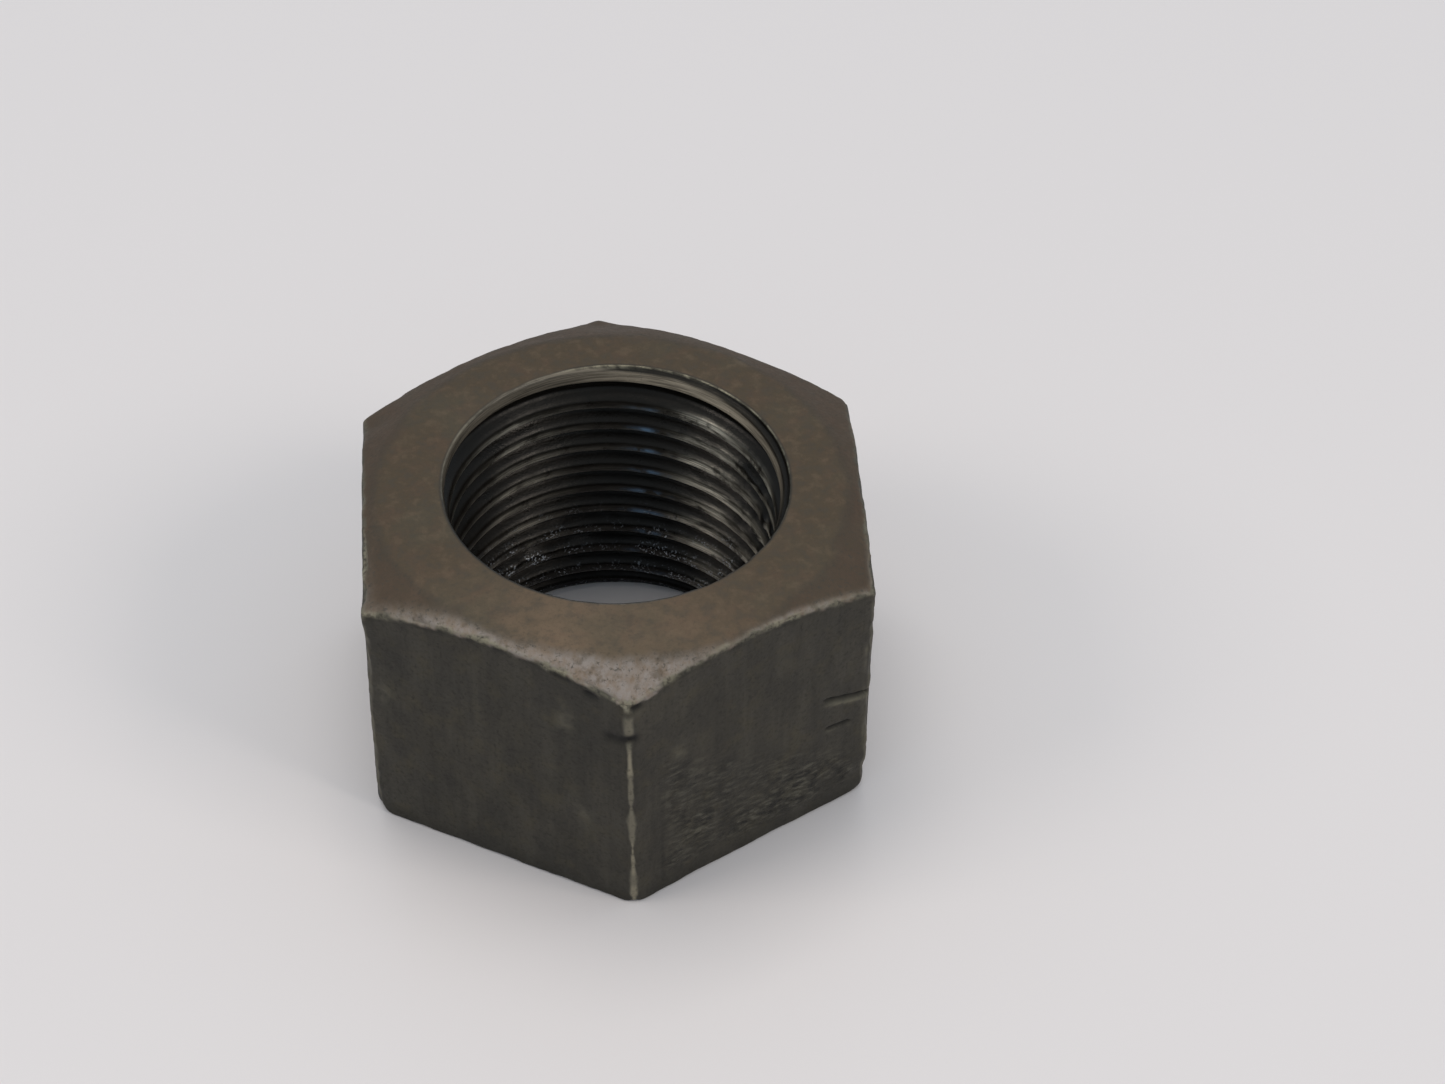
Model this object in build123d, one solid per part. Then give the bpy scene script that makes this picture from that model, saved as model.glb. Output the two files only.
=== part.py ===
from build123d import *
from build123d.topology import SkipClean
import math
import os

# Hex nut with a fine right-hand thread. Millimetres, +Z along the thread axis.
# Origin: centre of the lower bearing face. Two flats face +X and -X, two corners point to +Y and -Y.

# driving dimensions
ACROSS_FLATS = 26.99        # 1 1/16 in
THICKNESS = 16.67           # 21/32 in
PITCH = 25.4 / 16           # 16 threads per inch
MAJOR_DIA = 19.05           # 3/4 in, at the root of the groove
MINOR_DIA = 17.70           # at the crest of the thread
FLANK_DEG = 30.0            # half of the 60 degree thread angle
ROOT_FLAT = PITCH / 8       # flat at the root of the groove
GROOVE_DEG = 70.0           # angle at which the groove's centre line crosses the upper face
LEAD_IN_DIA = 18.60         # mouth of the bore, the same at both faces
LEAD_IN_DEPTH = 1.60
TOP_FACE_DIA = 24.90        # circle left flat inside the upper chamfer
TOP_CHAMFER_DEG = 28.0      # slope of the upper chamfer below the face
BOTTOM_FACE_DIA = 30.30     # wider than the flats, so the lower chamfer only trims the corners
BOTTOM_CHAMFER_DEG = 65.0   # steep, close to a worn edge
OVERRUN = 2.0               # how far the cutters run past each face
BORE_SECTORS = 3            # faces the bore wall is made of, round its axis

# derived dimensions
CREST_R = MINOR_DIA / 2
ROOT_R = MAJOR_DIA / 2
TURNED_R = ACROSS_FLATS / math.sqrt(3) + 1.0


def chamfer_drop(face_dia, slope_deg):
    """Height a chamfer has lost between its face circle and the turned blank's outside."""
    return (TURNED_R - face_dia / 2) * math.tan(math.radians(slope_deg))


def blank():
    """Hexagonal bar with a chamfer turned on each end."""
    section = RegularPolygon(ACROSS_FLATS / 2, 6, major_radius=False, rotation=30)
    profile = Polyline(
        (0, 0),
        (BOTTOM_FACE_DIA / 2, 0),
        (TURNED_R, chamfer_drop(BOTTOM_FACE_DIA, BOTTOM_CHAMFER_DEG)),
        (TURNED_R, THICKNESS - chamfer_drop(TOP_FACE_DIA, TOP_CHAMFER_DEG)),
        (TOP_FACE_DIA / 2, THICKNESS),
        (0, THICKNESS),
        close=True,
    )
    turned = revolve(Plane.XZ * make_face(profile), Axis.Z)
    return extrude(section, THICKNESS) & turned


def bore_sector(start_deg, arc_deg):
    """Sector of the tapping drill: a cylinder that flares to the lead-in at each end."""
    flare = (LEAD_IN_DIA - MINOR_DIA) / 2 / LEAD_IN_DEPTH * OVERRUN
    profile = Polyline(
        (0, -OVERRUN),
        (LEAD_IN_DIA / 2 + flare, -OVERRUN),
        (CREST_R, LEAD_IN_DEPTH),
        (CREST_R, THICKNESS - LEAD_IN_DEPTH),
        (LEAD_IN_DIA / 2 + flare, THICKNESS + OVERRUN),
        (0, THICKNESS + OVERRUN),
        close=True,
    )
    sector = revolve(Plane.XZ * make_face(profile), Axis.Z, revolution_arc=arc_deg)
    return Rot(0, 0, start_deg) * sector


def groove_turn():
    """One turn of the thread groove, from the XZ plane up by one pitch."""
    inner_r = CREST_R - PITCH / 4
    root_half = ROOT_FLAT / 2
    mouth_half = root_half + (ROOT_R - inner_r) * math.tan(math.radians(FLANK_DEG))
    profile = Polyline(
        (inner_r, -mouth_half),
        (ROOT_R, -root_half),
        (ROOT_R, root_half),
        (inner_r, mouth_half),
        close=True,
    )
    path = Helix(PITCH, PITCH, ROOT_R)
    return sweep(Plane.XZ * make_face(profile), path=path, is_frenet=True)


def groove():
    """Turns of the groove stacked from below the lower face to above the upper face."""
    turn = Rot(0, 0, GROOVE_DEG) * groove_turn()
    below = math.ceil((THICKNESS + OVERRUN) / PITCH)
    above = math.ceil(OVERRUN / PITCH)
    return [Pos(0, 0, THICKNESS + i * PITCH) * turn for i in range(-below, above)]


def hex_nut():
    """Turned blank, drilled and then tapped. The sectors of the bore wall stay separate faces."""
    arc = 360 / BORE_SECTORS
    drill = [bore_sector(GROOVE_DEG + i * arc, arc) for i in range(BORE_SECTORS)]
    bar = blank()
    with SkipClean():
        return bar.cut(*drill).cut(*groove())


os.makedirs("parts", exist_ok=True)
export_step(hex_nut(), "parts/hex_nut.step")
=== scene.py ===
import math
from types import SimpleNamespace

import bpy
import numpy as np
from mathutils import Matrix, Vector


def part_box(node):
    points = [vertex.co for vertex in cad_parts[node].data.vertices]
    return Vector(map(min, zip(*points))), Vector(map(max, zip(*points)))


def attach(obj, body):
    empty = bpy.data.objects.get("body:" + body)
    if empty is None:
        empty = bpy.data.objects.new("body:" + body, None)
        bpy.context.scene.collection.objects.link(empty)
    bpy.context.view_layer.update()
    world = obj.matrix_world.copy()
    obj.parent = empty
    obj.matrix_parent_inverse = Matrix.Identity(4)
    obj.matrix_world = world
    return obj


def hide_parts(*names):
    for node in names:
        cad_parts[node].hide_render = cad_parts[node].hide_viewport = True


# A worn steel hex nut. Lengths are in millimetres until the mesh is made, which is in metres.
# Angles go round the thread's axis, from +X towards +Y. They are in degrees in the tables and in
# what around() is told, and in radians elsewhere.

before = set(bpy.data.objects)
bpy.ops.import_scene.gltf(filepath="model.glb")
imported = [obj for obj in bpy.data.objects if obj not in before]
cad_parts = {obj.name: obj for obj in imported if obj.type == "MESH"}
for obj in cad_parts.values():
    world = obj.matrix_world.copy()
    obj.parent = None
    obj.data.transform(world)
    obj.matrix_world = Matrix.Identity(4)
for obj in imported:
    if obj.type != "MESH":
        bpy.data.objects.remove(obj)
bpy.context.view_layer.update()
low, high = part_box("hex_nut")

MM = 0.001
TAU = 2 * math.pi

# the nut's own dimensions
FLAT = (high.x - low.x) / 2 / MM  # axis to flat
TOP = high.z / MM
SECTOR = math.radians(30)  # angle at the axis from the middle of a flat to its corner
CORNER = FLAT * math.tan(SECTOR)  # middle of a flat to its corner, along the flat
CORNER_R = FLAT / math.cos(SECTOR)  # axis to corner
# the flats' directions, anticlockwise from the front corner
NORMALS = [math.radians(a) for a in (-60, 0, 60, 120, 180, 240)]
START = math.radians(-90)  # the seam of the mesh, at the front corner

PITCH = 25.4 / 16
CREST_R = 8.85
ROOT_R = 9.525
FLANK = math.radians(30)  # half the groove's included angle
GROOVE = math.radians(70)  # where the groove's centre line crosses the upper face
GROOVE_HALF = PITCH / 16 + (ROOT_R - CREST_R) * math.tan(FLANK)
RIDGE_UNDER = 0.12  # rounding of each ridge's lower edge
RIDGE_UPPER = 0.30  # and of its upper edge, which is more worn
ROOT_ROUND = 0.20
BROKEN_OUT = 0.30  # how much wider the groove is just below the mouth
LEAD_IN = 1.6
MOUTH_R = 9.28
MOUTH_SHIFT = (0.12, 0.08)  # the lead-in was cut a little off centre
MOUTH_ROUND = 0.06

FACE_R = 12.6  # circle left flat inside the chamfer
CHAMFER = math.radians(28)  # slope below that face
CHAMFER_SHIFT = (-0.10, -0.55)  # the chamfer is off centre too
FOOT_R = 14.92  # circle left flat inside the trim of the lower corners
FOOT_CHAMFER = math.radians(65)
FOOT_SHIFT = (0, -0.70)
LEAN = 0.018  # slope of the front corner
LEAN_LEVEL = 12.5  # height at which that corner is in its true place
LEAN_REACH = 4.5  # how far from the corner the lean is felt

# mesh density
BORE_COLUMNS = 240
FLAT_COLUMNS = 80
OUTER_COLUMNS = 6 * FLAT_COLUMNS
# rows of the thread: heights above a groove's centre line, up to half a pitch
ROW_HEIGHTS = [0, 0.10, 0.22, 0.34, 0.44, 0.50, 0.57, 0.68, PITCH / 2]
THREAD_ROWS = 2 * len(ROW_HEIGHTS) - 2  # rows in one pitch
TURNS = range(-13, 2)  # turns of the thread, counted from the upper face
FLAT_ROWS = 76
FACE_ROWS = 11
CHAMFER_ROWS = 11
FOOT_EDGE_ROWS = 8
FOOT_ROWS = 6
NEAR_MOUTH = (0.05, 0.12, 0.22, 0.38)  # rings close outside the mouth
MOUTH_MARGIN = 0.70  # where those rings give way to the face's own
FACE_INSET = 0.2  # the face's rings end at least this far inside the flats
FOOT_INSET = 0.25
LEAST_CHAMFER = 0.1  # least width of the chamfer's rings
LEAST_FOOT = 0.25  # least height of the foot's trim
FACE_GAP = 0.04  # thread rows stop this far inside both faces
PAST_TOP, PAST_FOOT = -1, -2  # stand for the numbers of points beyond a face

# how points are moved onto the surface
SETTLE_ROUNDS = 6
SETTLE_STEP = 0.12  # longest move in one round
PROBE = 1e-3  # distance over which the slope is taken
LEAST_SLOPE = 0.3  # least squared slope that a move is divided by


# ------------------------------------------------------------------ noise and small maths


def lattice(ix, iy, iz, seed):
    """A number from -1 to 1 that depends only on the cell and the seed."""
    h = (ix * 73856093) ^ (iy * 19349663) ^ (iz * 83492791) ^ (seed * 374761393)
    h = ((h ^ (h >> 13)) * 1274126177) & 0xFFFFFFFF
    h = ((h ^ (h >> 15)) * 2246822519) & 0xFFFFFFFF
    return ((h >> 8) & 0xFFFF) / 32767.5 - 1


def noise(p, scale, seed):
    """Smooth noise from -1 to 1 at the points p, with lumps of about that scale."""
    q = p / np.asarray(scale, float)
    cell = np.floor(q).astype(np.int64)
    f = q - cell
    w = f * f * f * (f * (f * 6 - 15) + 10)
    total = np.zeros(len(p))
    for dx in (0, 1):
        wx = w[:, 0] if dx else 1 - w[:, 0]
        for dy in (0, 1):
            wy = w[:, 1] if dy else 1 - w[:, 1]
            for dz in (0, 1):
                wz = w[:, 2] if dz else 1 - w[:, 2]
                value = lattice(cell[:, 0] + dx, cell[:, 1] + dy, cell[:, 2] + dz, seed)
                total += value * wx * wy * wz
    return total


def smax(a, b, k):
    """The larger of a and b, with the switch between them rounded over the distance k."""
    h = np.maximum(k - np.abs(a - b), 0) / k
    return np.maximum(a, b) + h * h * k / 4


def step(low_edge, high_edge, x):
    """Goes smoothly from 0 at the first edge to 1 at the second, whichever of them is larger."""
    t = np.clip((x - low_edge) / (high_edge - low_edge), 0, 1)
    return t * t * (3 - 2 * t)


def spread(n, density):
    """n + 1 values from 0 to 1, closer together where density is higher."""
    x = np.linspace(0, 1, 4001)
    d = density(x)
    total = np.concatenate([[0], np.cumsum((d[1:] + d[:-1]) / 2)])
    return np.interp(np.linspace(0, total[-1], n + 1), total, x)


def bell(x, middle, width):
    """1 where x is at the middle, and almost 0 at twice the width from it."""
    return np.exp(-(((x - middle) / width) ** 2))


def around(angle, middle, width):
    """A bell round the axis, with its middle and width in degrees."""
    return bell((np.degrees(angle) - middle + 180) % 360 - 180, 0, width)


# ------------------------------------------------------------------ the shape


def groove_depth(angle, z):
    """How far the groove is cut beyond the crest. It is wider just below the upper mouth."""
    phase = (z - TOP) / PITCH - (angle - GROOVE) / TAU
    above = (phase - np.round(phase)) * PITCH
    wide = BROKEN_OUT * step(TOP - 2.0, TOP - 1.1, z) * (above > 0)
    flank = (GROOVE_HALF + wide - np.abs(above)) / math.tan(FLANK)
    shoulder = np.where(above > 0, RIDGE_UNDER, RIDGE_UPPER)
    return -smax(-smax(flank, 0, shoulder), CREST_R - ROOT_R, ROOT_ROUND)


def cone_radius(angle, z):
    """Radius of the lead-in cones, which take over from the thread near both faces."""
    slope = (MOUTH_R - CREST_R) / LEAD_IN
    shift = MOUTH_SHIFT[0] * np.cos(angle) + MOUTH_SHIFT[1] * np.sin(angle)
    to_face = np.minimum(np.abs(TOP - z), np.abs(z))
    return MOUTH_R + shift * step(TOP / 2, TOP, z) - to_face * slope


def hole_radius(angle, z):
    return smax(CREST_R + groove_depth(angle, z), cone_radius(angle, z), MOUTH_ROUND)


def parts_of(p):
    """Signed distance of each point to the nut's separate surfaces, positive outside the metal."""
    x, y, z = p.T
    r = np.hypot(x, y)
    footed = np.hypot(x - FOOT_SHIFT[0], y - FOOT_SHIFT[1])
    turned = np.hypot(x - CHAMFER_SHIFT[0], y - CHAMFER_SHIFT[1])
    angle = np.arctan2(y, x)
    flats = np.stack([x * math.cos(a) + y * math.sin(a) - FLAT for a in NORMALS])
    flats = np.sort(flats, axis=0)
    return {
        "flat": flats[-1],
        "next_flat": flats[-2],
        "chamfer": (turned - FACE_R) * math.sin(CHAMFER) + (z - TOP) * math.cos(CHAMFER),
        "foot_chamfer": (footed - FOOT_R) * math.sin(FOOT_CHAMFER) - z * math.cos(FOOT_CHAMFER),
        "face": z - TOP,
        "foot": -z,
        "hole": hole_radius(angle, z) - r,
    }


def body(p, soft):
    """Signed distance to the whole nut, its edges rounded by the amounts in soft."""
    d = parts_of(p)
    outside = smax(d["flat"], d["next_flat"], soft["corner"])
    outside = smax(outside, d["chamfer"], soft["chamfer"])
    outside = smax(outside, d["foot_chamfer"], soft["foot"])
    outside = smax(outside, d["face"], soft["face"])
    outside = smax(outside, d["foot"], soft["foot"])
    return smax(outside, d["hole"], soft["mouth"])


def edge_softness(p):
    """How far each kind of edge is rounded, which varies along it."""
    n = noise(p, 0.9, 11)
    fine = noise(p, 0.45, 12)
    angle = np.arctan2(p[:, 1], p[:, 0])
    rear_left = around(angle, 150, 12) * step(TOP - 3, TOP, p[:, 2])
    return {
        "corner": 0.22 + 0.10 * n + 0.06 * fine + 0.5 * rear_left,
        "chamfer": 0.18 + 0.09 * n + 0.06 * fine,
        "foot": 0.22 + 0.08 * n + 0.04 * fine,
        "face": 0.22 + 0.05 * n,
        "mouth": 0.13 + 0.05 * n + 0.03 * fine,
    }


def flat_place(p, degrees):
    """Place along a flat, height, and a mask that is 1 on that flat."""
    a = math.radians(degrees)
    out = p[:, 0] * math.cos(a) + p[:, 1] * math.sin(a)
    along = -p[:, 0] * math.sin(a) + p[:, 1] * math.cos(a)
    return along, p[:, 2], step(FLAT - 1.2, FLAT - 0.5, out)


def cut_line(along, z, start, end, width):
    """How close each place is to a straight cut, how far across it, and a mask of its length."""
    a, b = np.array(start, float), np.array(end, float)
    d = b - a
    length = np.hypot(*d)
    d /= length
    u = (along - a[0]) * d[0] + (z - a[1]) * d[1]
    v = -(along - a[0]) * d[1] + (z - a[1]) * d[0]
    ends = step(-width, width, u) * (1 - step(length - width, length + width, u))
    return bell(v, 0, width) * ends, v, ends


# deep marks: flat, place along it and height of the start and of the end, width, depth
DENTS = [
    (-60, (4.70, 8.58), (7.80, 7.62), 0.13, 0.32),
    (-60, (4.90, 6.34), (6.50, 6.12), 0.10, 0.18),
    (-60, (-7.79, 12.85), (-7.20, 12.95), 0.30, 0.10),
    (-120, (6.35, 12.72), (7.79, 12.84), 0.32, 0.09),
    (-120, (5.20, 15.45), (5.90, 15.30), 0.18, 0.12),
    (-60, (-7.60, 15.00), (-6.95, 15.15), 0.18, 0.12),
    (-60, (-5.11, 4.88), (-4.28, 5.49), 0.07, 0.05),
    (-60, (-5.88, 7.2), (-5.86, 0.8), 0.07, 0.03),
    (0, (-3.4, 5.9), (-1.7, 6.2), 0.24, 0.10),
    (60, (2.2, 9.4), (4.6, 9.1), 0.22, 0.14),
    (120, (-5.6, 4.6), (-4.0, 4.9), 0.24, 0.09),
    (180, (0.4, 11.2), (2.1, 11.0), 0.24, 0.12),
]

# knocks: centre, radius and depth, negative where metal stands proud
KNOCKS = [
    ((0.0, -15.50, 15.30), 0.35, 0.16),
    ((0.0, 15.10, 14.55), 0.50, -0.14),
    ((-13.4, -7.7, 14.7), 0.90, -0.13),
    ((-12.9, 6.6, 15.6), 0.9, 0.16),
    ((13.2, 6.6, 15.6), 0.5, 0.06),
    ((13.4, -7.6, 1.2), 0.8, 0.18),
    ((-13.4, -7.5, 0.9), 0.9, 0.16),
    ((0.0, -15.6, 7.6), 0.30, 0.07),
    ((0.0, -15.6, 4.1), 0.35, 0.06),
    ((13.5, 7.8, 9.0), 0.5, 0.12),
    ((-13.5, 7.8, 5.5), 0.6, 0.14),
    ((0.1, 15.5, 10.5), 0.5, 0.12),
]

# a dent's raised lip, as parts of the dent's width and depth
LIP_PLACE = 2.1
LIP_WIDTH = 1.1
LIP_HEIGHT = 0.16
# LIP_SHINE lightens the lip below a dent: bare metal with a painted highlight
LIP_SHINE = 0.7
DIRT_AND_SHADE_DEPTH = 0.10  # dents this deep or more are painted fully dark: dirt, and painted shade in the dent

# rubbed places: flat, middle along it and up it, half width and half height
SCUFFS = [
    (-120, -6.9, 9.6, 0.45, 1.6),
    (-120, 4.0, 12.6, 0.50, 1.3),
    (-120, 4.8, 6.0, 0.70, 1.3),
    (-60, 7.4, 10.6, 0.14, 2.4),
    (-60, 7.5, 5.2, 0.12, 1.6),
    (-60, -4.6, 10.4, 0.50, 0.9),
    (0, 5.9, 8.0, 0.40, 1.8),
    (120, 2.0, 11.0, 0.60, 1.0),
]
SCUFF_SHINE = 0.50

# unevenness: height, size of the lumps, seed
SIDE_WAVES = [(0.030, 4.0, 1), (0.014, 1.3, 2), (0.008, 0.6, 3)]
FACE_WAVES = [(0.010, 3.0, 4), (0.005, 0.9, 5)]
HOLE_WAVES = [(0.016, (1.6, 1.6, 0.7), 6), (0.008, 0.5, 7)]
CLUMP_HEIGHT = 0.13
RIM_BITE = 0.15
CORNER_BITE = 0.07

# tool marks: flat, length and height of one stroke, slope of the strokes, height they stand
TOOL_FLAT = -60
STROKE_LENGTH = 0.85
STROKE_HEIGHT = 0.34
STROKE_SLOPE = 0.20
TOOL_HEIGHT = 0.060


def dent_marks(p):
    """How far the deep marks move the surface, and masks of their floors, darkened as dirt and
    painted shade, and of their lips, lightened as bare metal with a painted highlight.
    """
    move, dirt, bright = np.zeros(len(p)), np.zeros(len(p)), np.zeros(len(p))
    for degrees, start, end, width, depth in DENTS:
        along, z, here = flat_place(p, degrees)
        on, across, ends = cut_line(along, z, start, end, width)
        sign = 1 if end[0] >= start[0] else -1
        lip = bell(across * sign, -LIP_PLACE * width, LIP_WIDTH * width) * ends
        move += here * (-depth * on + LIP_HEIGHT * depth * lip)
        # the dent's floor is painted dark, as dirt and painted shade, and the lip below it light,
        # as bare metal and a painted highlight
        dirt += here * on * min(1.0, depth / DIRT_AND_SHADE_DEPTH)
        bright += here * LIP_SHINE * lip * step(0.08, 0.24, depth)
    return move, dirt, bright


def scuff_mask(p):
    bright = np.zeros(len(p))
    for degrees, t, height, width, tall in SCUFFS:
        along, z, here = flat_place(p, degrees)
        spot = bell(along, t, width) * bell(z, height, tall)
        bright += here * SCUFF_SHINE * spot * (0.55 + 0.45 * noise(p, 0.5, 56))
    return bright


def knock_depth(p):
    total = np.zeros(len(p))
    for centre, radius, depth in KNOCKS:
        total += depth * bell(np.linalg.norm(p - np.array(centre), axis=1), 0, radius)
    return total


def chatter(p):
    """Shallow wavy tool marks on the right front flat: a mask and the height."""
    along, z, here = flat_place(p, TOOL_FLAT)
    top_edge = 10.6 - 0.55 * (along + 5.5)  # the marked area falls away to the right
    area = step(-6.8, -4.6, along) * (1 - step(6.2, 7.4, along))
    area *= step(0.6, 2.0, z) * (1 - step(-2.2, 0.6, z - top_edge))
    area *= here * (0.5 + 0.5 * step(-0.45, 0.35, noise(p, 1.9, 31)))
    across = (z - STROKE_SLOPE * along) / STROKE_HEIGHT
    wave = noise(np.stack([along / STROKE_LENGTH, across, 0 * z], 1), 1.0, 32)
    return area, area * wave


def debris(p):
    """Clumps of dirt in the thread, mostly low down and on the side towards +X."""
    lumps = step(0.10, 0.60, noise(p, (0.6, 0.6, 0.4), 8)) * step(-0.30, 0.25, noise(p, 2.2, 9))
    angle = np.arctan2(p[:, 1], p[:, 0])
    where = around(angle, 18, 26) * step(15.0, 12.5, p[:, 2])
    where += 0.5 * around(angle, 120, 60) * step(8.0, 4.0, p[:, 2])
    return lumps * np.clip(where, 0, 1)


def waves(p, table):
    return sum(height * noise(p, size, seed) for height, size, seed in table)


def surface_offset(p):
    """Small unevenness of the metal, in millimetres outwards."""
    d = parts_of(p)
    on_hole = step(-0.5, -0.1, d["hole"])
    on_face = step(-0.5, -0.15, d["face"]) * (1 - on_hole)
    on_side = (1 - on_hole) * (1 - on_face)
    offset = on_side * waves(p, SIDE_WAVES)
    offset += on_face * waves(p, FACE_WAVES)
    offset += on_hole * (waves(p, HOLE_WAVES) + CLUMP_HEIGHT * debris(p))
    at_rim = bell(np.maximum(d["flat"], d["next_flat"]), d["chamfer"], 0.28) * (p[:, 2] > TOP / 2)
    at_corner = bell(d["flat"], d["next_flat"], 0.30)
    bites = step(0.05, 0.65, noise(p, (0.95, 0.95, 0.7), 51))
    bites += 0.5 * step(0.0, 0.6, noise(p, 0.42, 53))
    toward_front = 0.25 + 0.75 * step(4, -6, p[:, 1])
    offset -= on_side * (RIM_BITE * at_rim + CORNER_BITE * at_corner) * bites * toward_front
    move, _, _ = dent_marks(p)
    _, tool = chatter(p)
    return offset + move - knock_depth(p) + TOOL_HEIGHT * tool


def settle(p):
    """Moves each point onto the rounded, uneven surface."""
    soft = edge_softness(p)
    target = surface_offset(p)
    for _ in range(SETTLE_ROUNDS):
        value = body(p, soft) - target
        rises = [body(p + e, soft) - body(p - e, soft) for e in PROBE * np.eye(3)]
        slope = np.stack(rises, axis=1) / (2 * PROBE)
        size = np.maximum((slope**2).sum(1), LEAST_SLOPE)
        move = -(value / size)[:, None] * slope
        length = np.maximum(np.linalg.norm(move, axis=1, keepdims=True), 1e-12)
        p = p + move * np.minimum(1, SETTLE_STEP / length)
    p[:, 2] = np.maximum(p[:, 2], 0)  # nothing goes below the table
    return p


def lean(p):
    """The front corner is not quite upright."""
    from_corner = np.hypot(p[:, 0], p[:, 1] + CORNER_R)
    sideways = LEAN * (LEAN_LEVEL - p[:, 2]) * bell(from_corner, 0, LEAN_REACH)
    return p + sideways[:, None] * np.array([1, 0, 0])


# ------------------------------------------------------------------ the mesh


# how closely rows and columns are set, where x goes from 0 to 1 across each part


def near_corner(x):
    return 1 + 4.5 * (bell(x, 0, 1 / 26) + bell(x, 1, 1 / 26))


def near_rim(x):
    return 1 + 2.5 * bell(x, 1, 1 / 5)


def across_chamfer(x):
    return 1 + 1.2 * bell(x, 0, 1 / 5) + 2 * bell(x, 1, 1 / 5)


def down_flat(x):
    """Rows are closer at both ends of a flat, at its nicks and at its long dents."""
    ends = 3.2 * bell(x, 0, 1 / 24) + 1.6 * bell(x, 1, 1 / 24)
    return 1 + ends + 1.1 * bell(x, 0.55, 1 / 7) + bell(x, 0.2, 1 / 14)


def outer_angles():
    along = (spread(FLAT_COLUMNS, near_corner) * 2 - 1)[:-1] * CORNER
    return np.concatenate([a + np.arctan2(along, FLAT) for a in NORMALS])


def ring(radius, angle, z):
    return np.stack([radius * np.cos(angle), radius * np.sin(angle), z + 0 * angle], 1)


def shifted_circle(angle, radius, shift):
    """Distance from the axis to an off-centre circle."""
    along = shift[0] * np.cos(angle) + shift[1] * np.sin(angle)
    across = shift[0] * np.sin(angle) - shift[1] * np.cos(angle)
    return along + np.sqrt(radius**2 - across**2)


def beyond_circle(angle, distance, radius, shift):
    """How far points at that distance from the axis lie outside an off-centre circle."""
    x, y = distance * np.cos(angle) - shift[0], distance * np.sin(angle) - shift[1]
    return np.hypot(x, y) - radius


def even_angles(count):
    return START + np.arange(count) / count * TAU


def turned_to(angle, other, amount):
    """The first angles, turned by that part of the way to the others."""
    return angle + ((other - angle + math.pi) % TAU - math.pi) * amount


def face_rings(face_r, outer):
    even = even_angles(OUTER_COLUMNS)
    start_r = MOUTH_R + MOUTH_MARGIN
    rings = []
    for s in spread(FACE_ROWS, near_rim)[:-1]:
        angle = turned_to(even, outer, step(0, 1, s))
        rings.append(ring(start_r + (face_r - start_r) * s, angle, TOP))
    return rings


def side_rings(face_r, hexagon, outer):
    """Rings down the chamfer and the flats, and the height of the last one."""
    edge = np.maximum(beyond_circle(outer, hexagon, FACE_R, CHAMFER_SHIFT), LEAST_CHAMFER)
    edge_z = TOP - edge * math.tan(CHAMFER)
    foot_z = beyond_circle(outer, hexagon, FOOT_R, FOOT_SHIFT) * math.tan(FOOT_CHAMFER)
    foot_z = np.maximum(foot_z, LEAST_FOOT)
    rings = []
    for s in spread(CHAMFER_ROWS, across_chamfer)[:-1]:
        rings.append(ring(face_r + (hexagon - face_r) * s, outer, TOP + (edge_z - TOP) * s))
    for s in spread(FLAT_ROWS, down_flat)[:-1]:
        rings.append(ring(hexagon, outer, edge_z + (foot_z - edge_z) * s))
    return rings, foot_z


def foot_rings(foot_z, hexagon, outer):
    even = even_angles(OUTER_COLUMNS)
    foot_r = np.minimum(hexagon, shifted_circle(outer, FOOT_R, FOOT_SHIFT)) - FOOT_INSET
    end_r = MOUTH_R + MOUTH_MARGIN
    rings = []
    for s in np.linspace(0, 1, FOOT_EDGE_ROWS):
        rings.append(ring(hexagon + (foot_r - hexagon) * s, outer, foot_z * (1 - s)))
    for s in np.linspace(0, 1, FOOT_ROWS)[1:]:
        angle = turned_to(even, outer, 1 - step(0, 1, s))
        rings.append(ring(foot_r + (end_r - foot_r) * s, angle, 0))
    return rings


def outer_rings():
    """Rings of points from the upper mouth over the outside to the lower mouth."""
    bore, outer = even_angles(BORE_COLUMNS), outer_angles()
    nearest = np.min([np.abs((outer - a + math.pi) % TAU - math.pi) for a in NORMALS], axis=0)
    hexagon = FLAT / np.cos(nearest)
    face_r = np.minimum(shifted_circle(outer, FACE_R, CHAMFER_SHIFT), hexagon - FACE_INSET)
    upper, lower = hole_radius(bore, TOP), hole_radius(bore, 0 * bore)
    gaps = (0, *NEAR_MOUTH)
    rings = [ring(upper + g, bore, TOP) for g in gaps]
    rings += face_rings(face_r, outer)
    down, foot_z = side_rings(face_r, hexagon, outer)
    rings += down + foot_rings(foot_z, hexagon, outer)
    return rings + [ring(lower + g, bore, 0) for g in reversed(gaps)]


def strip(a, b):
    """Faces between two rings of vertex numbers, where one may have twice as many as the other."""
    a2, b2 = np.roll(a, -1), np.roll(b, -1)
    if len(a) == len(b):
        return np.stack([a, b, b2, a2], 1).tolist()
    if len(b) == 2 * len(a):
        return np.stack([a, b[::2], b[1::2], np.roll(b[::2], -1), a2], 1).tolist()
    return np.stack([a[::2], b, b2, np.roll(a[::2], -1), a[1::2]], 1).tolist()


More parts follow.
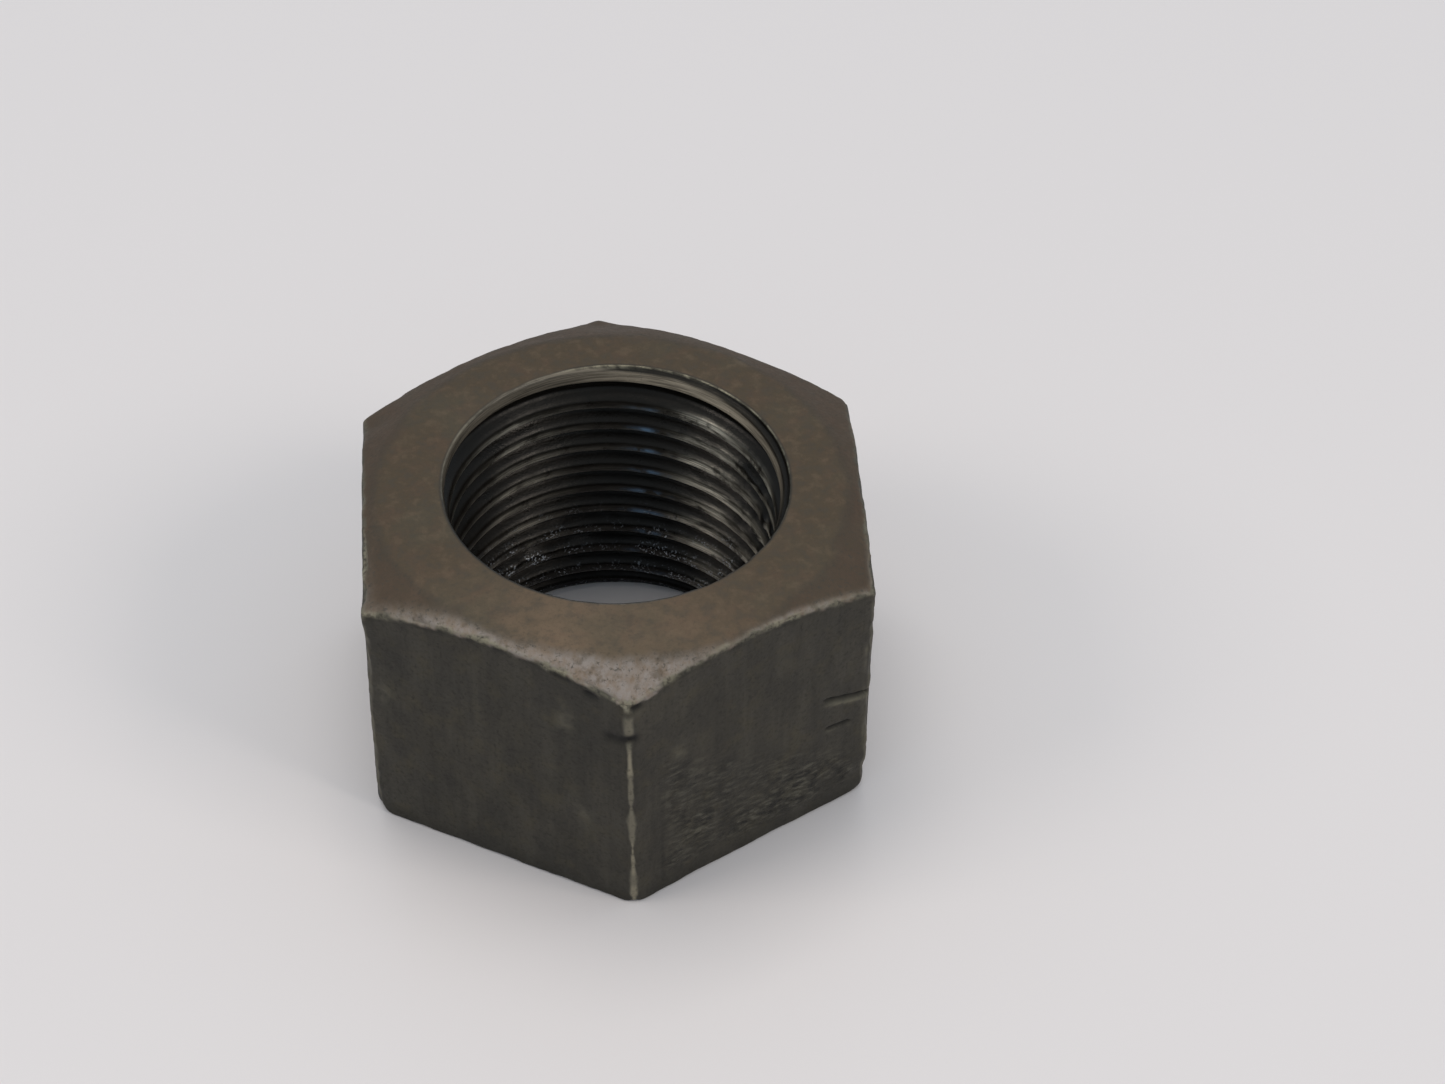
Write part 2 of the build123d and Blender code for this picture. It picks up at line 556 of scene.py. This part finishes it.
def thread_rows(first):
    """The bore's points in rows that follow the thread, and their numbers, counted from first."""
    upper_half = [PITCH - x for x in reversed(ROW_HEIGHTS[1:-1])]
    across = np.array(ROW_HEIGHTS + upper_half) / PITCH
    turns = np.concatenate([k + across for k in TURNS])
    angle = even_angles(BORE_COLUMNS)
    z = TOP + PITCH * ((angle - GROOVE)[None, :] / TAU + turns[:, None])
    free = (z > FACE_GAP) & (z < TOP - FACE_GAP)
    numbers = np.where(z >= TOP - FACE_GAP, PAST_TOP, PAST_FOOT)
    numbers[free] = first + np.arange(free.sum())
    column = np.broadcast_to(np.arange(BORE_COLUMNS), z.shape)
    a = angle[column[free]]
    points = ring(hole_radius(a, z[free]), a, z[free])
    return points, numbers


def bore_faces(numbers, upper, lower):
    """Faces between the rows, where a row that is past a face takes that face's ring."""
    columns = np.arange(BORE_COLUMNS)
    numbers = np.where(numbers == PAST_TOP, upper[columns], numbers)
    numbers = np.where(numbers == PAST_FOOT, lower[columns], numbers)
    following = np.roll(numbers, -1, axis=1)
    last = len(numbers) - 1
    shifted = np.minimum(np.arange(len(numbers)) + THREAD_ROWS, last)
    following[:, -1] = numbers[shifted, 0]
    following[-THREAD_ROWS:, -1] = upper[0]
    quads = np.stack([numbers[:-1], numbers[1:], following[1:], following[:-1]], -1)
    faces = []
    for q in quads.reshape(-1, 4).tolist():
        f = [v for i, v in enumerate(q) if v != q[i - 1]]
        if len(set(f)) >= 3:
            faces.append(f)
    return faces


def nut_mesh():
    rings = outer_rings()
    points, numbers, count = [], [], 0
    for r in rings:
        numbers.append(count + np.arange(len(r)))
        points.append(r)
        count += len(r)
    faces = []
    for a, b in zip(numbers, numbers[1:]):
        faces += strip(a, b)
    bore_points, bore_numbers = thread_rows(count)
    points.append(bore_points)
    faces += bore_faces(bore_numbers, numbers[0], numbers[-1])
    return settle(np.concatenate(points)), faces


# ------------------------------------------------------------------ where each finish goes

# where a finish or painted light shows round the axis, as soft patches: strength, middle, width.
# Except for the sooty rim, these place painted light: the steel in the hole and at its upper edge
# is painted brighter where the lamps' light falls, and the sparks are painted sparkles
SOOTY_RIM = [(1.0, -95, 50), (1.0, -90, 8)]
MOUTH_WEAR_AND_HIGHLIGHT = [(1.0, 35, 50), (0.45, 100, 45), (0.45, 160, 28)]
LIT_LEAD_IN = [(0.74, 64, 36), (0.45, 38, 18), (0.26, 137, 28), (0.32, 8, 16), (0.10, 174, 14)]
LIT_RIDGES = [(1.30, 50, 11), (0.50, 20, 19), (0.32, 124, 15)]
RIDGE_EDGE_HIGHLIGHTS = [(0.45, 138, 24), (1.0, 48, 26)]
SPARKS = [(1.0, 42, 26), (1.0, 124, 24), (0.5, 73, 12)]


def patches(angle, table):
    return sum(strength * around(angle, middle, width) for strength, middle, width in table)


def rim(p, d, on_hole):
    """Distance below the chamfer's outer edge, noise that frays it, and a mask of all above it."""
    rough = noise(p, 0.7, 41) * 0.6 + noise(p, 0.35, 42) * 0.4
    below = np.maximum(d["flat"], d["next_flat"]) - d["chamfer"]
    upper = step(-0.10, 0.10, 0.42 * rough - below) * (1 - on_hole)
    return below, rough, upper


def outside_masks(p, d, angle, on_hole):
    """The upper face, the chamfer with its worn front, and the foot."""
    below, rough, upper = rim(p, d, on_hole)
    face = d["face"] - d["chamfer"] + 0.10 * rough + 0.12 * noise(p, 2.3, 45)
    face = step(-0.34, 0.12, face - 0.24 * around(angle, -118, 22)) * (1 - on_hole) * upper
    rim_gap = np.abs(below) / math.sin(CHAMFER)
    left = 0.95 * around(angle, -120, 30) * bell(rim_gap, 0, 1.5)
    right = 0.72 * around(angle, -56, 34) * bell(rim_gap, 0, 0.7)
    front = np.maximum(0.90 * around(angle, -92, 24), np.maximum(left, right))
    return {
        "face": face,
        "chamfer": upper * (1 - face),
        "front": front,
        "near": step(-1.0, -13.0, p[:, 1]) * around(angle, -103, 40) * upper,
        "foot": step(1.5, 0.2, p[:, 2]) * (1 - on_hole),
    }


def corner_mask(p, d, angle, rough):
    """The bare line down each corner, brightest at the front and broken by two nicks."""
    z = p[:, 2]
    gap = (d["flat"] - d["next_flat"]) / math.sin(2 * SECTOR) + 0.07 * noise(p, (9, 9, 0.8), 46)
    wide = 0.15 + 0.08 * noise(p, (3, 3, 1.1), 43) + 0.04 * step(TOP - 4.5, TOP - 1.5, z)
    corner = 1 - step(wide * 0.5, wide * 1.7, gap + 0.12 * rough)
    whole = 1 - bell(z, 14.7, 0.26) - 0.9 * bell(z, 12.9, 0.24)
    whole *= 0.55 + 0.45 * step(-0.3, 0.4, noise(p, (9, 9, 0.9), 47))
    return corner * (0.30 + 0.70 * around(angle, -90, 15)) * whole


def edge_masks(p, d, angle, on_hole):
    """The bare corners, the rubbed edge of the chamfer, and the dirt just below it."""
    below, rough, upper = rim(p, d, on_hole)
    upper_half = p[:, 2] > TOP / 2
    rim_gap = np.abs(below) / math.sin(CHAMFER)
    patchy = 0.35 + 0.65 * step(-0.3, 0.4, noise(p, 1.7, 44))
    edge = (1 - step(0.08, 0.55, rim_gap + 0.40 * rough)) * upper_half * patchy
    soot = bell(below, 0.24, 0.16) * (1 - upper) * upper_half
    soot *= step(-0.1, 0.5, noise(p, 0.8, 55)) * np.clip(patches(angle, SOOTY_RIM), 0, 1)
    return {
        "corner": corner_mask(p, d, angle, rough) * (1 - on_hole) * (1 - upper),
        "edge": edge * (1 - on_hole) * (0.25 + 0.75 * step(2, -6, p[:, 1])),
        "soot": soot * (1 - on_hole),
    }


def mouth_mask(p, d, angle):
    """The bare edge between the upper face and the hole, painted bright on its far side only: bare
    metal with a painted highlight.
    """
    mouth = step(-0.11, -0.03, d["hole"]) * step(-0.09, -0.02, d["face"])
    mouth *= np.clip(patches(angle, MOUTH_WEAR_AND_HIGHLIGHT), 0, 1)
    return mouth * (0.3 + 0.7 * step(-0.4, 0.2, noise(p, (0.35, 0.35, 2), 49)))


def lead_in_band(p, angle):
    """The bare steel of the upper lead-in, without the groove that fades out across it."""
    z = p[:, 2]
    cut = hole_radius(angle, z) - np.maximum(CREST_R, cone_radius(angle, z))
    run_out = np.clip(math.radians(95) - angle, 0, 2.6)
    groove_foot = 0.12 + 0.42 * np.minimum(run_out, 1.35) + 0.05 * noise(p, 1.5, 57)
    groove_line = step(groove_foot + 0.10, groove_foot - 0.08, TOP - z)
    groove_line *= step(0.0, 0.15, run_out) * step(2.6, 2.1, run_out)
    return lead_in(z) * (1 - step(0.03, 0.14, cut)) * (1 - 0.93 * groove_line)


def lead_in(z):
    """1 on the upper lead-in, 0 on the thread below it."""
    return step(TOP - LEAD_IN - 0.1, TOP - LEAD_IN + 0.4, z)


def up_ridge(p, angle):
    """0 and 1 in the middle of a groove, 0.31 at a ridge's lower edge, 0.69 at its upper edge."""
    turns = (p[:, 2] - TOP) / PITCH - (angle - GROOVE) / TAU
    turns += 0.012 * noise(p, (1.2, 1.2, 0.5), 48)
    return turns - np.floor(turns)


def ridge_light(p, angle):
    """How brightly the ridges are painted: bare steel, painted brighter where the lamps' light
    falls on them, and less so near the foot of the hole.
    """
    lit = patches(angle, LIT_RIDGES) + 0.05 + 0.15 * around(angle, -90, 70)
    lit *= 0.9 + 0.5 * noise(p, (2.4, 2.4, 0.9), 54)
    return lit * (1 - 0.65 * step(6.0, 2.0, p[:, 2]))


def hole_masks(p, d, angle, on_hole):
    """The ridges, the lead-in, the oil between them, and small marks: painted highlights (edge
    lines, glints and sparkles) and clumps of dirt. The bare ridges and lead-in are painted
    brighter where the lamps' light falls.
    """
    z = p[:, 2]
    place = up_ridge(p, angle)
    lower_edge = step(0.22, 0.29, place)
    open_side = step(0.84, 0.46, place) * lower_edge
    # painted light: the ridges are painted bright further up on the side where the lamps' light
    # falls
    ridge_end = 0.66 + 0.16 * around(angle, 34, 30)
    ridge = 0.90 * step(ridge_end, 0.40, place) * lower_edge + 0.10 * open_side
    on_thread = 1 - lead_in(z)
    ridge *= on_thread
    band = lead_in_band(p, angle)
    # a thin painted highlight along each ridge's lower edge, strongest where the lamps' light
    # falls
    thin = 0.12 + 0.88 * np.clip(patches(angle, RIDGE_EDGE_HIGHLIGHTS), 0, 1)
    # a painted bluish reflection on the ridges, in a narrow stripe round the axis
    glint = around(angle, 74 + 2.5 * noise(p, 1.5, 50), 6) * bell(place, 0.41, 0.09)
    # painted sparkles on the upward side of the low ridges, where the lamps' light falls
    spark = step(7.5, 4.0, z) * open_side * np.clip(patches(angle, SPARKS), 0, 1)
    return {
        "hole": on_hole,
        "mouth": mouth_mask(p, d, angle),
        # the ridges' bare steel, painted brighter where the lamps' light falls on it
        "crest": np.clip(ridge * ridge_light(p, angle), 0, 1) * on_hole,
        # the lead-in's bare steel, painted brighter where the lamps' light falls on it
        "band": np.clip(band * patches(angle, LIT_LEAD_IN), 0, 1) * on_hole,
        "line": thin * bell(place, 0.33, 0.04) * on_hole * on_thread,
        "oil": (1 - np.clip(ridge + band, 0, 1)) * on_hole,
        "glint": glint * step(14.6, 13.6, z) * on_hole,
        "clump": debris(p) * on_hole,
        "spark": spark * on_hole,
    }


def masks(p):
    """Where each kind of surface is, from 0 to 1 at every vertex."""
    d = parts_of(p)
    angle = np.arctan2(p[:, 1], p[:, 0])
    on_hole = step(-0.16, -0.06, d["hole"])
    _, dirt, bright = dent_marks(p)
    tool, _ = chatter(p)
    found = {
        "dirt": np.clip(dirt, 0, 1),
        "bright": np.clip(bright + scuff_mask(p), 0, 1),
        "tool": tool,
    }
    found |= outside_masks(p, d, angle, on_hole)
    found |= edge_masks(p, d, angle, on_hole)
    return found | hole_masks(p, d, angle, on_hole)


# ------------------------------------------------------------------ the finish


class Finish:
    """Short calls that add nodes to a material."""

    def __init__(self, name):
        self.material = bpy.data.materials.new(name)
        self.material.use_nodes = True
        self.tree = self.material.node_tree
        self.shader = self.tree.nodes["Principled BSDF"]
        self.place = self.tree.nodes.new("ShaderNodeTexCoord").outputs["Object"]

    def put(self, socket, value):
        if hasattr(value, "is_linked"):
            self.tree.links.new(value, socket)
        else:
            socket.default_value = value

    def mask(self, name):
        node = self.tree.nodes.new("ShaderNodeAttribute")
        node.attribute_name = name
        return node.outputs["Fac"]

    def grain(self, size, detail=2.0, rough=0.5, tilt=0.0):
        """Noise from 0 to 1 with lumps of about that size in millimetres, tilted round Y."""
        size = size if isinstance(size, tuple) else (size,) * 3
        mapping = self.tree.nodes.new("ShaderNodeMapping")
        mapping.vector_type = "TEXTURE"
        mapping.inputs["Scale"].default_value = [s * MM for s in size]
        mapping.inputs["Rotation"].default_value = (0, -math.radians(tilt), 0)
        self.tree.links.new(self.place, mapping.inputs["Vector"])
        node = self.tree.nodes.new("ShaderNodeTexNoise")
        node.inputs["Scale"].default_value = 1.0
        node.inputs["Detail"].default_value = detail
        node.inputs["Roughness"].default_value = rough
        self.tree.links.new(mapping.outputs["Vector"], node.inputs["Vector"])
        return node.outputs["Fac"]

    def math(self, operation, a, b):
        node = self.tree.nodes.new("ShaderNodeMath")
        node.operation = operation
        self.put(node.inputs[0], a)
        self.put(node.inputs[1], b)
        return node.outputs[0]

    def times(self, a, b):
        return self.math("MULTIPLY", a, b)

    def over(self, a, b):
        """The larger of the two."""
        return self.math("MAXIMUM", a, b)

    def range(self, value, low_in, high_in, low_out=0.0, high_out=1.0):
        """Maps low_in to low_out and high_in to high_out, and goes no further either way."""
        node = self.tree.nodes.new("ShaderNodeMapRange")
        names = ("Value", "From Min", "From Max", "To Min", "To Max")
        for name, v in zip(names, (value, low_in, high_in, low_out, high_out)):
            self.put(node.inputs[name], v)
        return node.outputs["Result"]

    def mix(self, factor, a, b):
        """Colour a where the factor is 0, colour b where it is 1."""
        node = self.tree.nodes.new("ShaderNodeMix")
        node.data_type = "RGBA"
        self.put(node.inputs["Factor"], factor)
        for socket, value in zip([s for s in node.inputs if s.type == "RGBA"], (a, b)):
            self.put(socket, (*value, 1) if isinstance(value, tuple) else value)
        return [s for s in node.outputs if s.type == "RGBA"][0]

    def tint(self, colour, other, grain, none_at, full_at, most, within=None):
        """Mixes in the other colour where the noise goes from none_at to full_at, up to most."""
        amount = self.range(grain, none_at, full_at, 0.0, most)
        if within is not None:
            amount = self.times(within, amount)
        return self.mix(amount, colour, other)

    def blend(self, factor, a, b):
        """The same mixing for plain numbers."""
        node = self.tree.nodes.new("ShaderNodeMix")
        node.data_type = "FLOAT"
        for socket, value in zip(node.inputs[:1] + node.inputs[2:4], (factor, a, b)):
            self.put(socket, value)
        return node.outputs[0]

    def bump(self, height, distance, after=None):
        node = self.tree.nodes.new("ShaderNodeBump")
        node.inputs["Distance"].default_value = distance * MM
        self.put(node.inputs["Height"], height)
        if after is not None:
            self.put(node.inputs["Normal"], after)
        return node.outputs["Normal"]


BROWN = (0.065, 0.0455, 0.0265)
BROWN_WORN = (0.165, 0.112, 0.070)
OLIVE = (0.066, 0.055, 0.035)
RUST = (0.086, 0.054, 0.035)
WARM_BROWN = (0.062, 0.039, 0.026)
DARK = (0.0495, 0.0435, 0.0335)
DARKER = (0.018, 0.016, 0.013)
WARM_DARK = (0.0535, 0.0462, 0.0342)
PINK_GREY = (0.236, 0.200, 0.174)
OLIVE_GREY = (0.230, 0.205, 0.145)
BARE = (0.270, 0.240, 0.175)
OIL = (0.0112, 0.0092, 0.0071)
# GRIME_AND_DENT_SHADE is dirt, and painted shade in the dents
GRIME_AND_DENT_SHADE = (0.008, 0.007, 0.006)
# CREST is bare steel, made bright enough to stand for the highlights on the ridges too: partly a
# painted highlight
CREST = (0.930, 0.850, 0.690)
LEAD_IN_STEEL = (0.530, 0.438, 0.325)
# SPARK is the colour of painted sparkles
SPARK = (0.80, 0.84, 0.90)
TOOL_LIGHT = (0.105, 0.095, 0.072)
# GLINT is a painted bluish reflection
GLINT = (0.150, 0.260, 0.400)
SPECULAR = 0.22


def shared_grains(f):
    return SimpleNamespace(
        broad=f.grain(5.0, 3),
        patch=f.grain(1.4, 4, 0.6),
        mottle=f.grain(0.8, 4, 0.65),
        speck=f.grain(0.22, 3, 0.6),
        drawn=f.grain((0.35, 0.35, 6.0), 3, 0.6),
        turned=f.grain((2.6, 2.6, 0.07), 3, 0.6),
        stroke=f.grain((0.75, 0.75, 0.27), 3, 0.55, tilt=-7),
    )


def shared_masks(f):
    names = ("hole", "face", "corner", "edge", "crest", "band", "tool")
    return SimpleNamespace(**{name: f.mask(name) for name in names})


def top_colour(f, g):
    worn = f.times(f.mask("near"), f.range(g.patch, 0.3, 0.65, 0.4, 1.0))
    colour = f.mix(worn, BROWN, BROWN_WORN)
    colour = f.tint(colour, OLIVE, g.broad, 0.44, 0.62, 0.55)
    colour = f.tint(colour, RUST, g.patch, 0.48, 0.66, 0.45)
    colour = f.tint(colour, DARK, g.mottle, 0.50, 0.36, 0.38)
    colour = f.tint(colour, BROWN_WORN, g.mottle, 0.52, 0.68, 0.22)
    return f.tint(colour, DARK, g.speck, 0.55, 0.75, 0.4)


def side_colour(f, g, m):
    colour = f.mix(f.range(g.broad, 0.38, 0.62), DARK, WARM_DARK)
    colour = f.tint(colour, DARKER, g.drawn, 0.45, 0.72, 0.28)
    colour = f.tint(colour, DARKER, f.grain((1.5, 1.5, 4.5), 3), 0.62, 0.44, 0.35)
    colour = f.tint(colour, OLIVE, g.patch, 0.52, 0.70, 0.55)
    colour = f.tint(colour, DARKER, g.patch, 0.46, 0.32, 0.38)
    colour = f.tint(colour, DARKER, g.speck, 0.54, 0.76, 0.55)
    colour = f.tint(colour, TOOL_LIGHT, g.stroke, 0.53, 0.66, 0.75, m.tool)
    colour = f.tint(colour, DARKER, g.stroke, 0.49, 0.38, 0.95, m.tool)
    return f.mix(f.times(f.mask("foot"), f.range(g.patch, 0.35, 0.65, 0.1, 0.6)), colour, DARKER)


def chamfer_colour(f, g, top):
    """Bare and pinkish at the front, like the upper face elsewhere."""
    front = f.mask("front")
    streak = f.range(f.grain((0.45, 0.8, 0.5), 4, 0.65), 0.30, 0.60, 0.2, 1.0)
    colour = f.mix(streak, BROWN_WORN, PINK_GREY)
    colour = f.mix(f.range(front, 0.05, 0.75, 1.0, 0.0), colour, top)
    colour = f.mix(f.range(front, 0.0, 0.4, 0.55, 0.0), colour, WARM_BROWN)
    colour = f.tint(colour, BROWN, g.mottle, 0.48, 0.34, 0.55)
    return f.tint(colour, DARK, g.speck, 0.56, 0.70, 0.7)


def hole_colour(f, g, m):
    """Black oil, with bare ridges and a bare lead-in that are scratched along the thread and
    painted brighter where the lamps' light falls, and painted highlights: edge lines, a bluish
    glint and sparkles.
    """
    scratched = f.range(g.turned, 0.40, 0.62, 1.0, 0.38)
    ragged = f.range(f.grain((2.2, 2.2, 0.5), 3, 0.6), 0.38, 0.54, 0.20, 1.0)
    ragged = f.times(ragged, f.range(g.patch, 0.34, 0.44, 0.35, 1.0))
    # bare ridges, with painted light where the lamps' light falls
    colour = f.mix(f.times(f.times(m.crest, scratched), ragged), OIL, CREST)
    # the bare lead-in, with painted light where the lamps' light falls
    colour = f.mix(f.times(m.band, scratched), colour, LEAD_IN_STEEL)
    # painted highlight along the ridges' lower edges
    line = f.times(f.mask("line"), f.range(g.patch, 0.40, 0.60, 0.06, 0.24))
    colour = f.mix(line, colour, CREST)
    # painted bluish reflection on the ridges
    colour = f.tint(colour, GLINT, g.patch, 0.45, 0.62, 1.0, f.mask("glint"))
    # painted sparkles
    spark = f.times(f.mask("spark"), f.range(f.grain(0.9, 2), 0.46, 0.58, 0.05, 1.0))
    colour = f.tint(colour, SPARK, f.grain(0.14, 2), 0.56, 0.63, 1.0, spark)
    return f.mix(f.mask("clump"), colour, GRIME_AND_DENT_SHADE)


def nut_colour(f, g, m):
    top = top_colour(f, g)
    colour = f.mix(m.face, side_colour(f, g, m), top)
    colour = f.mix(f.mask("chamfer"), colour, chamfer_colour(f, g, top))
    edge = f.times(m.edge, f.range(g.speck, 0.34, 0.58, 0.05, 1.0))
    colour = f.mix(edge, colour, OLIVE_GREY)
    corner = f.times(m.corner, f.range(g.speck, 0.30, 0.50, 0.45, 1.0))
    colour = f.mix(corner, colour, BARE)
    colour = f.mix(m.hole, colour, hole_colour(f, g, m))
    # the mouth's bare edge, with a painted highlight on its far side
    mouth = f.times(f.mask("mouth"), f.range(g.speck, 0.30, 0.50, 0.40, 1.0))
    colour = f.mix(mouth, colour, OLIVE_GREY)
    # scuffs, and the dents' lips, which are bare metal with a painted highlight
    bright = f.times(f.times(f.mask("bright"), 0.6), f.range(g.patch, 0.40, 0.58, 0.2, 1.0))
    colour = f.mix(bright, colour, OLIVE_GREY)
    # soot, and the dents' floors, which are dirt with painted shade
    return f.mix(f.over(f.mask("dirt"), f.times(f.mask("soot"), 0.8)), colour, GRIME_AND_DENT_SHADE)


def nut_roughness(f, g, m, bare):
    outside = f.range(g.patch, 0.3, 0.7, 0.56, 0.68)
    outside = f.math("ADD", outside, f.range(g.speck, 0.3, 0.7, -0.05, 0.07))
    outside = f.math("SUBTRACT", outside, f.times(bare, 0.12))
    return f.blend(m.hole, outside, f.range(g.patch, 0.35, 0.65, 0.26, 0.42))


def nut_metal(f, m, bare):
    """Bare places are the most metallic. The oil is black and half metallic, to mirror little."""
    metal = f.over(f.times(bare, 0.7), f.times(f.over(m.crest, m.band), 0.3))
    return f.over(f.over(metal, 0.10), f.times(f.mask("oil"), 0.5))


def nut_normal(f, g, m):
    """Fine pits, lines drawn down the flats, turned lines in the hole, and the tool's strokes."""
    pits = f.math("ADD", f.times(g.speck, 0.6), f.times(f.grain(0.09, 2), 0.4))
    normal = f.bump(pits, 0.024)
    on_flats = f.math("SUBTRACT", 1.0, f.over(m.hole, m.face))
    normal = f.bump(f.times(g.drawn, on_flats), 0.006, normal)
    normal = f.bump(f.times(g.turned, f.over(m.crest, m.band)), 0.012, normal)
    return f.bump(f.times(g.stroke, m.tool), 0.20, normal)


def nut_finish():
    f = Finish("worn_steel")
    g, m = shared_grains(f), shared_masks(f)
    bare = f.over(f.times(m.edge, 0.5), m.corner)
    f.put(f.shader.inputs["Base Color"], nut_colour(f, g, m))
    f.put(f.shader.inputs["Roughness"], nut_roughness(f, g, m, bare))
    f.put(f.shader.inputs["Metallic"], nut_metal(f, m, bare))
    f.put(f.shader.inputs["Specular IOR Level"], SPECULAR)
    f.put(f.shader.inputs["Normal"], nut_normal(f, g, m))
    return f.material


# ------------------------------------------------------------------ the scene


def make_nut():
    points, faces = nut_mesh()
    mesh = bpy.data.meshes.new("hex_nut_worn")
    mesh.from_pydata((lean(points) * MM).tolist(), [], faces)
    mesh.validate()
    for name, values in masks(points).items():
        attribute = mesh.attributes.new(name, "FLOAT", "POINT")
        attribute.data.foreach_set("value", values.astype(np.float32))
    mesh.shade_smooth()
    nut = bpy.data.objects.new("hex_nut_worn", mesh)
    bpy.context.scene.collection.objects.link(nut)
    mesh.materials.append(nut_finish())
    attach(nut, "root")
    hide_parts("hex_nut")


FLOOR_HALF = 1.5
FLOOR_COLOUR = (0.695, 0.642, 0.624, 1)
FLOOR_ROUGHNESS = 0.45


def make_floor():
    mesh = bpy.data.meshes.new("floor")
    s = FLOOR_HALF
    mesh.from_pydata([(-s, -s, 0), (s, -s, 0), (s, s, 0), (-s, s, 0)], [], [(0, 1, 2, 3)])
    floor = bpy.data.objects.new("floor", mesh)
    bpy.context.scene.collection.objects.link(floor)
    material = bpy.data.materials.new("pale_table")
    material.use_nodes = True
    shader = material.node_tree.nodes["Principled BSDF"]
    shader.inputs["Base Color"].default_value = FLOOR_COLOUR
    shader.inputs["Roughness"].default_value = FLOOR_ROUGHNESS
    mesh.materials.append(material)


SKY_COLOUR = (0.74, 0.875, 1.0, 1)
SKY_STRENGTH = 0.63
# soft square lights: name, place and side in metres, power in watts, colour
LIGHTS = [
    ("key", (-0.04, 0.115, 0.58), 0.34, 1.06, (1.0, 0.935, 0.865)),
    ("left", (-0.42, -0.08, 0.36), 0.20, 0.62, (1.0, 0.935, 0.870)),
    ("right", (0.37, -0.20, 0.36), 0.20, 0.82, (1.0, 0.935, 0.870)),
]


def area_light(name, place, size, power, colour):
    """A light aimed at the middle of the nut."""
    data = bpy.data.lights.new(name, "AREA")
    data.shape = "SQUARE"
    data.size = size
    data.energy = power
    data.color = colour
    light = bpy.data.objects.new(name, data)
    light.location = place
    away = Vector(place) - Vector((0, 0, TOP / 2 * MM))
    light.rotation_euler = away.to_track_quat("Z", "Y").to_euler()
    bpy.context.scene.collection.objects.link(light)


def make_light():
    world = bpy.data.worlds.new("studio")
    world.use_nodes = True
    background = world.node_tree.nodes["Background"]
    background.inputs["Color"].default_value = SKY_COLOUR
    background.inputs["Strength"].default_value = SKY_STRENGTH
    bpy.context.scene.world = world
    for light in LIGHTS:
        area_light(*light)
    bpy.context.scene.view_settings.view_transform = "Standard"


# lens and sensor in millimetres, place in metres, and the camera's own axes
CAMERA_LENS = 91.63
CAMERA_SENSOR = 36.0
CAMERA_PLACE = (-0.00671, -0.14478, 0.15156)
CAMERA_RIGHT = (0.9971102, -0.0748255, 0.0131304)
CAMERA_UP = (0.0424282, 0.6918719, 0.7207726)
CAMERA_BACK = (-0.0630168, -0.7181326, 0.6930472)


def make_camera():
    data = bpy.data.cameras.new("camera")
    data.lens = CAMERA_LENS
    data.sensor_width = CAMERA_SENSOR
    data.clip_start = 0.01
    data.clip_end = 10.0
    camera = bpy.data.objects.new("camera", data)
    axes = Matrix((CAMERA_RIGHT, CAMERA_UP, CAMERA_BACK)).transposed().to_4x4()
    camera.matrix_world = Matrix.Translation(CAMERA_PLACE) @ axes
    bpy.context.scene.collection.objects.link(camera)
    bpy.context.scene.camera = camera


make_nut()
make_floor()
make_light()
make_camera()
